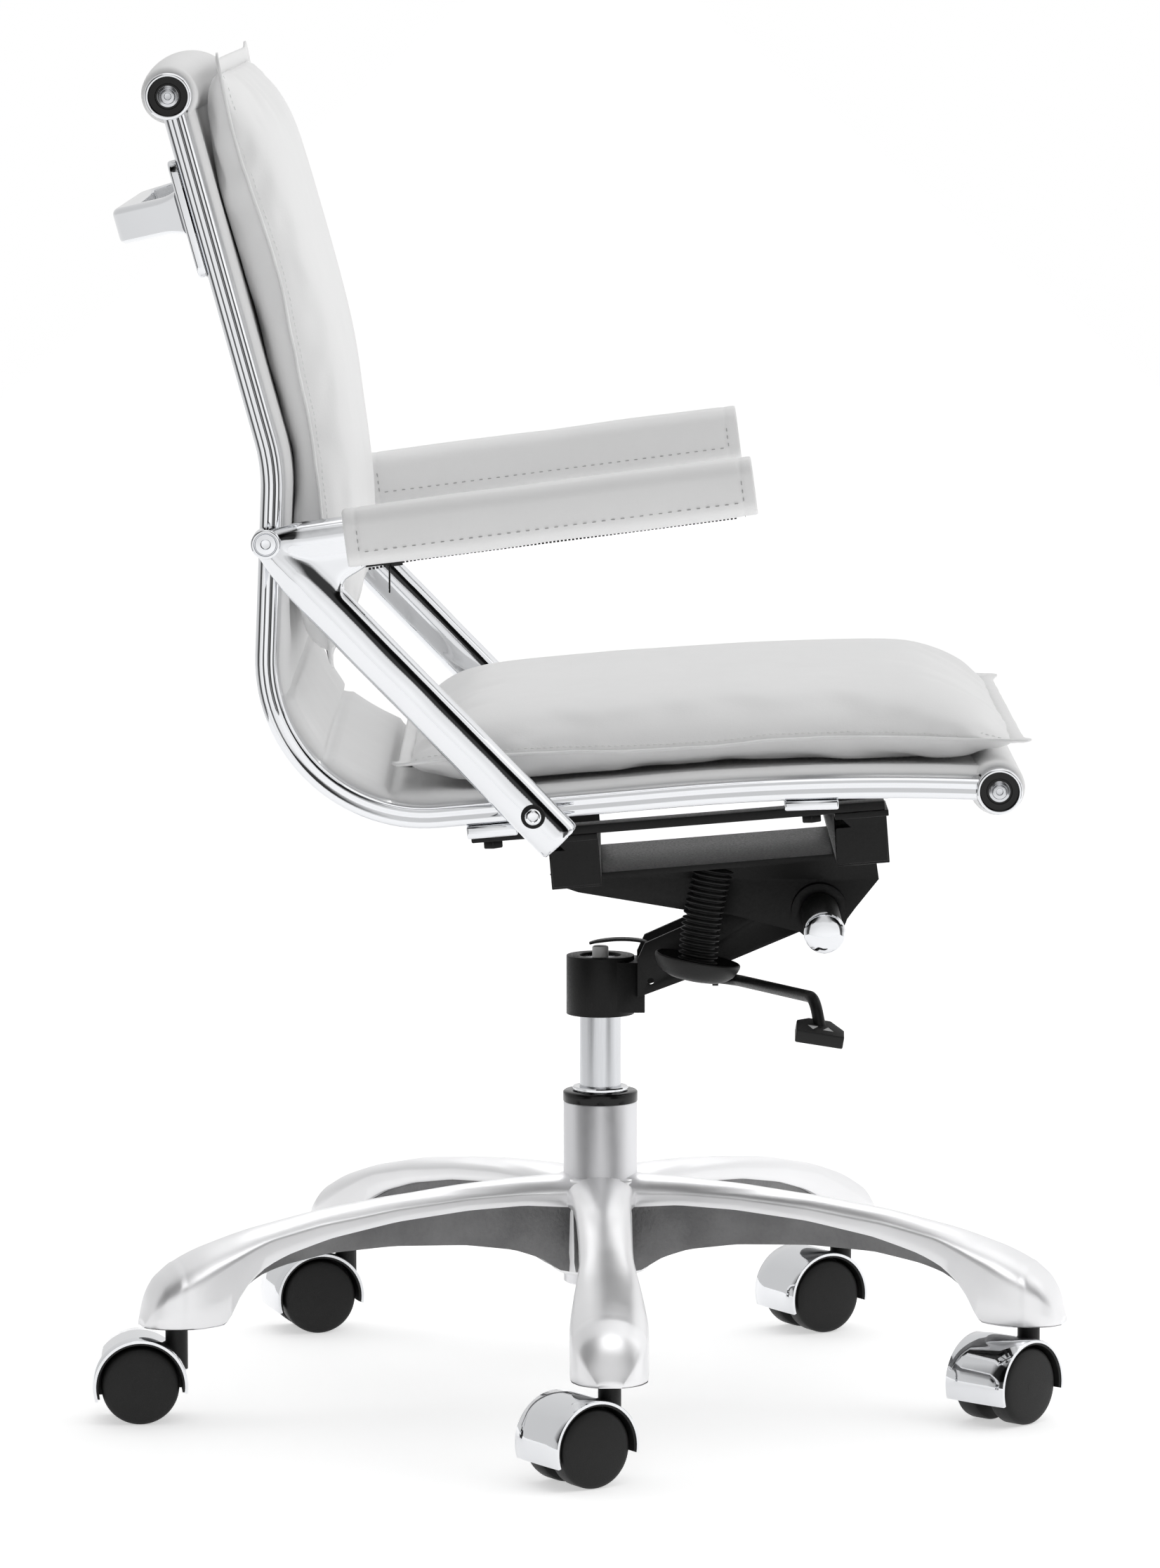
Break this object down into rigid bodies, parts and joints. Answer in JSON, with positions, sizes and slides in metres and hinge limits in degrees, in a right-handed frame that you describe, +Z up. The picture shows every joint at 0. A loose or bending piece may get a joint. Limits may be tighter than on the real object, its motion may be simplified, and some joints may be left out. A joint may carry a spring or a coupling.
{
  "type": "swivel office chair",
  "caption": "Office chair with padded leatherette sling on chrome side rails, sleeved arms, tilt mechanism, gas column and five-star base on twin casters.",
  "frame": {"origin": "on the column's axis at floor level, under the wheels", "axes": "+Z up, -Y towards the front of the seat, -X towards the sitter's right"},
  "size_m": [0.627, 0.6576, 0.91],
  "materials": {
    "black_gloss": "black plastic, glossy",
    "black_plastic": "black moulded plastic, slightly grained",
    "black_steel": "black powder coat, satin",
    "bright_steel": "bright ground steel",
    "grey_plastic": "pale grey plastic",
    "polished_aluminium": "polished casting, left rougher under the legs",
    "polished_chrome": "mirror-polished chrome plate",
    "white_leather": "smooth white leatherette with a fine grain"
  },
  "bodies": {
    "base": {"base_star": "polished_aluminium", "column_outer_tube": "polished_chrome", "column_collar": "black_gloss", "column_guide_bush": "polished_chrome"},
    "piston": {"gas_piston": "bright_steel"},
    "button": {"release_button": "grey_plastic"},
    "mechanism": {"column_hub": "black_steel", "lower_arm": "black_steel", "pivot_tube": "black_steel", "pivot_caps": "polished_chrome", "spring_boot": "black_plastic"},
    "lever": {"lever_rod": "black_steel", "lever_paddle": "black_plastic", "release_tongue": "black_steel"},
    "knob": {"tension_knob": "black_plastic"},
    "seat": {"tilt_bracket": "black_steel", "mount_bars": "black_steel", "cross_straps": "black_steel", "rail_feet": "polished_chrome", "mount_bolts": "black_steel", "rail_right": "polished_chrome", "rail_left": "polished_chrome", "cross_tubes": "polished_chrome", "end_rings": "polished_chrome", "end_inserts": "black_gloss", "end_screws": "bright_steel", "sling": "white_leather", "back_pad": "white_leather", "seat_pad": "white_leather", "back_handle": "polished_chrome", "arm_right": "polished_chrome", "arm_left": "polished_chrome", "sleeve_right": "white_leather", "sleeve_left": "white_leather", "arm_bolts": "polished_chrome", "arm_washers": "black_steel", "zips": "black_plastic"},
    "pull_right": {"zip_pull_right": "black_steel"},
    "pull_left": {"zip_pull_left": "black_steel"},
    "caster_near": {"caster_near_body": "black_plastic", "caster_near_hood": "polished_chrome"},
    "caster_near_wheel_a": {"caster_near_wheel_a": "black_plastic"},
    "caster_near_wheel_b": {"caster_near_wheel_b": "black_plastic"},
    "caster_front_right": {"caster_front_right_body": "black_plastic", "caster_front_right_hood": "polished_chrome"},
    "caster_front_right_wheel_a": {"caster_front_right_wheel_a": "black_plastic"},
    "caster_front_right_wheel_b": {"caster_front_right_wheel_b": "black_plastic"},
    "caster_front_left": {"caster_front_left_body": "black_plastic", "caster_front_left_hood": "polished_chrome"},
    "caster_front_left_wheel_a": {"caster_front_left_wheel_a": "black_plastic"},
    "caster_front_left_wheel_b": {"caster_front_left_wheel_b": "black_plastic"},
    "caster_rear_left": {"caster_rear_left_body": "black_plastic", "caster_rear_left_hood": "polished_chrome"},
    "caster_rear_left_wheel_a": {"caster_rear_left_wheel_a": "black_plastic"},
    "caster_rear_left_wheel_b": {"caster_rear_left_wheel_b": "black_plastic"},
    "caster_rear_right": {"caster_rear_right_body": "black_plastic", "caster_rear_right_hood": "polished_chrome"},
    "caster_rear_right_wheel_a": {"caster_rear_right_wheel_a": "black_plastic"},
    "caster_rear_right_wheel_b": {"caster_rear_right_wheel_b": "black_plastic"}
  },
  "joints": [
    {"name": "height_slide", "type": "slide", "parent": "base", "child": "piston", "axis": [0, 0, 1], "range_m": [-0.045, 0.04]},
    {"name": "button_press", "type": "slide", "parent": "piston", "child": "button", "axis": [0, 0, 1], "range_m": [-0.0052, 0], "stiffness_N_per_m": 400, "springref_m": 0.004},
    {"name": "seat_swivel", "type": "hinge", "parent": "piston", "child": "mechanism", "pos_m": [0, 0, 0.28], "axis": [0, 0, 1], "continuous": true},
    {"name": "lever_lift", "type": "hinge", "parent": "mechanism", "child": "lever", "pos_m": [-0.027, -0.0775, 0.2865], "axis": [0, 1, 0], "range_deg": [0, 6]},
    {"name": "tension_turn", "type": "hinge", "parent": "mechanism", "child": "knob", "pos_m": [-0.058, -0.06384, 0.29736], "axis": [0, -0.1736, 0.9848], "continuous": true},
    {"name": "seat_tilt", "type": "hinge", "parent": "mechanism", "child": "seat", "pos_m": [0, -0.147, 0.336], "axis": [-1, 0, 0], "range_deg": [0, 12], "stiffness_Nm_per_rad": 60, "springref_deg": -51.57, "deforming": ["spring_boot"]},
    {"name": "zip_pull_right_swing", "type": "hinge", "parent": "seat", "child": "pull_right", "pos_m": [-0.252, 0.136, 0.585], "axis": [1, 0, 0], "range_deg": [-50, 50]},
    {"name": "zip_pull_left_swing", "type": "hinge", "parent": "seat", "child": "pull_left", "pos_m": [0.252, 0.136, 0.585], "axis": [1, 0, 0], "range_deg": [-50, 50]},
    {"name": "caster_near_swivel", "type": "hinge", "parent": "base", "child": "caster_near", "pos_m": [-0.29995, -0.00524, 0.07], "axis": [0, 0, 1], "continuous": true},
    {"name": "caster_near_wheel_a_roll", "type": "hinge", "parent": "caster_near", "child": "caster_near_wheel_a", "pos_m": [-0.31357, 0.01573, 0.026], "axis": [-0.8387, -0.5446, 0], "continuous": true},
    {"name": "caster_near_wheel_b_roll", "type": "hinge", "parent": "caster_near", "child": "caster_near_wheel_b", "pos_m": [-0.31357, 0.01573, 0.026], "axis": [-0.8387, -0.5446, 0], "continuous": true},
    {"name": "caster_front_right_swivel", "type": "hinge", "parent": "base", "child": "caster_front_right", "pos_m": [-0.08771, -0.28689, 0.07], "axis": [0, 0, 1], "continuous": true},
    {"name": "caster_front_right_wheel_a_roll", "type": "hinge", "parent": "caster_front_right", "child": "caster_front_right_wheel_a", "pos_m": [-0.106, -0.26984, 0.026], "axis": [-0.682, -0.7314, 0], "continuous": true},
    {"name": "caster_front_right_wheel_b_roll", "type": "hinge", "parent": "caster_front_right", "child": "caster_front_right_wheel_b", "pos_m": [-0.106, -0.26984, 0.026], "axis": [-0.682, -0.7314, 0], "continuous": true},
    {"name": "caster_front_left_swivel", "type": "hinge", "parent": "base", "child": "caster_front_left", "pos_m": [0.24575, -0.17207, 0.07], "axis": [0, 0, 1], "continuous": true},
    {"name": "caster_front_left_wheel_a_roll", "type": "hinge", "parent": "caster_front_left", "child": "caster_front_left_wheel_a", "pos_m": [0.23287, -0.15064, 0.026], "axis": [-0.8572, -0.515, 0], "continuous": true},
    {"name": "caster_front_left_wheel_b_roll", "type": "hinge", "parent": "caster_front_left", "child": "caster_front_left_wheel_b", "pos_m": [0.23287, -0.15064, 0.026], "axis": [-0.8572, -0.515, 0], "continuous": true},
    {"name": "caster_rear_left_swivel", "type": "hinge", "parent": "base", "child": "caster_rear_left", "pos_m": [0.23959, 0.18055, 0.07], "axis": [0, 0, 1], "continuous": true},
    {"name": "caster_rear_left_wheel_a_roll", "type": "hinge", "parent": "caster_rear_left", "child": "caster_rear_left_wheel_a", "pos_m": [0.23228, 0.20445, 0.026], "axis": [-0.9563, -0.2924, 0], "continuous": true},
    {"name": "caster_rear_left_wheel_b_roll", "type": "hinge", "parent": "caster_rear_left", "child": "caster_rear_left_wheel_b", "pos_m": [0.23228, 0.20445, 0.026], "axis": [-0.9563, -0.2924, 0], "continuous": true},
    {"name": "caster_rear_right_swivel", "type": "hinge", "parent": "base", "child": "caster_rear_right", "pos_m": [-0.09767, 0.28366, 0.07], "axis": [0, 0, 1], "continuous": true},
    {"name": "caster_rear_right_wheel_a_roll", "type": "hinge", "parent": "caster_rear_right", "child": "caster_rear_right_wheel_a", "pos_m": [-0.09985, 0.30856, 0.026], "axis": [-0.9962, -0.0872, 0], "continuous": true},
    {"name": "caster_rear_right_wheel_b_roll", "type": "hinge", "parent": "caster_rear_right", "child": "caster_rear_right_wheel_b", "pos_m": [-0.09985, 0.30856, 0.026], "axis": [-0.9962, -0.0872, 0], "continuous": true}
  ],
  "couplings": [
    {"joint": "button_press", "follows": "lever_lift", "m_per_rad": -0.034}
  ]
}
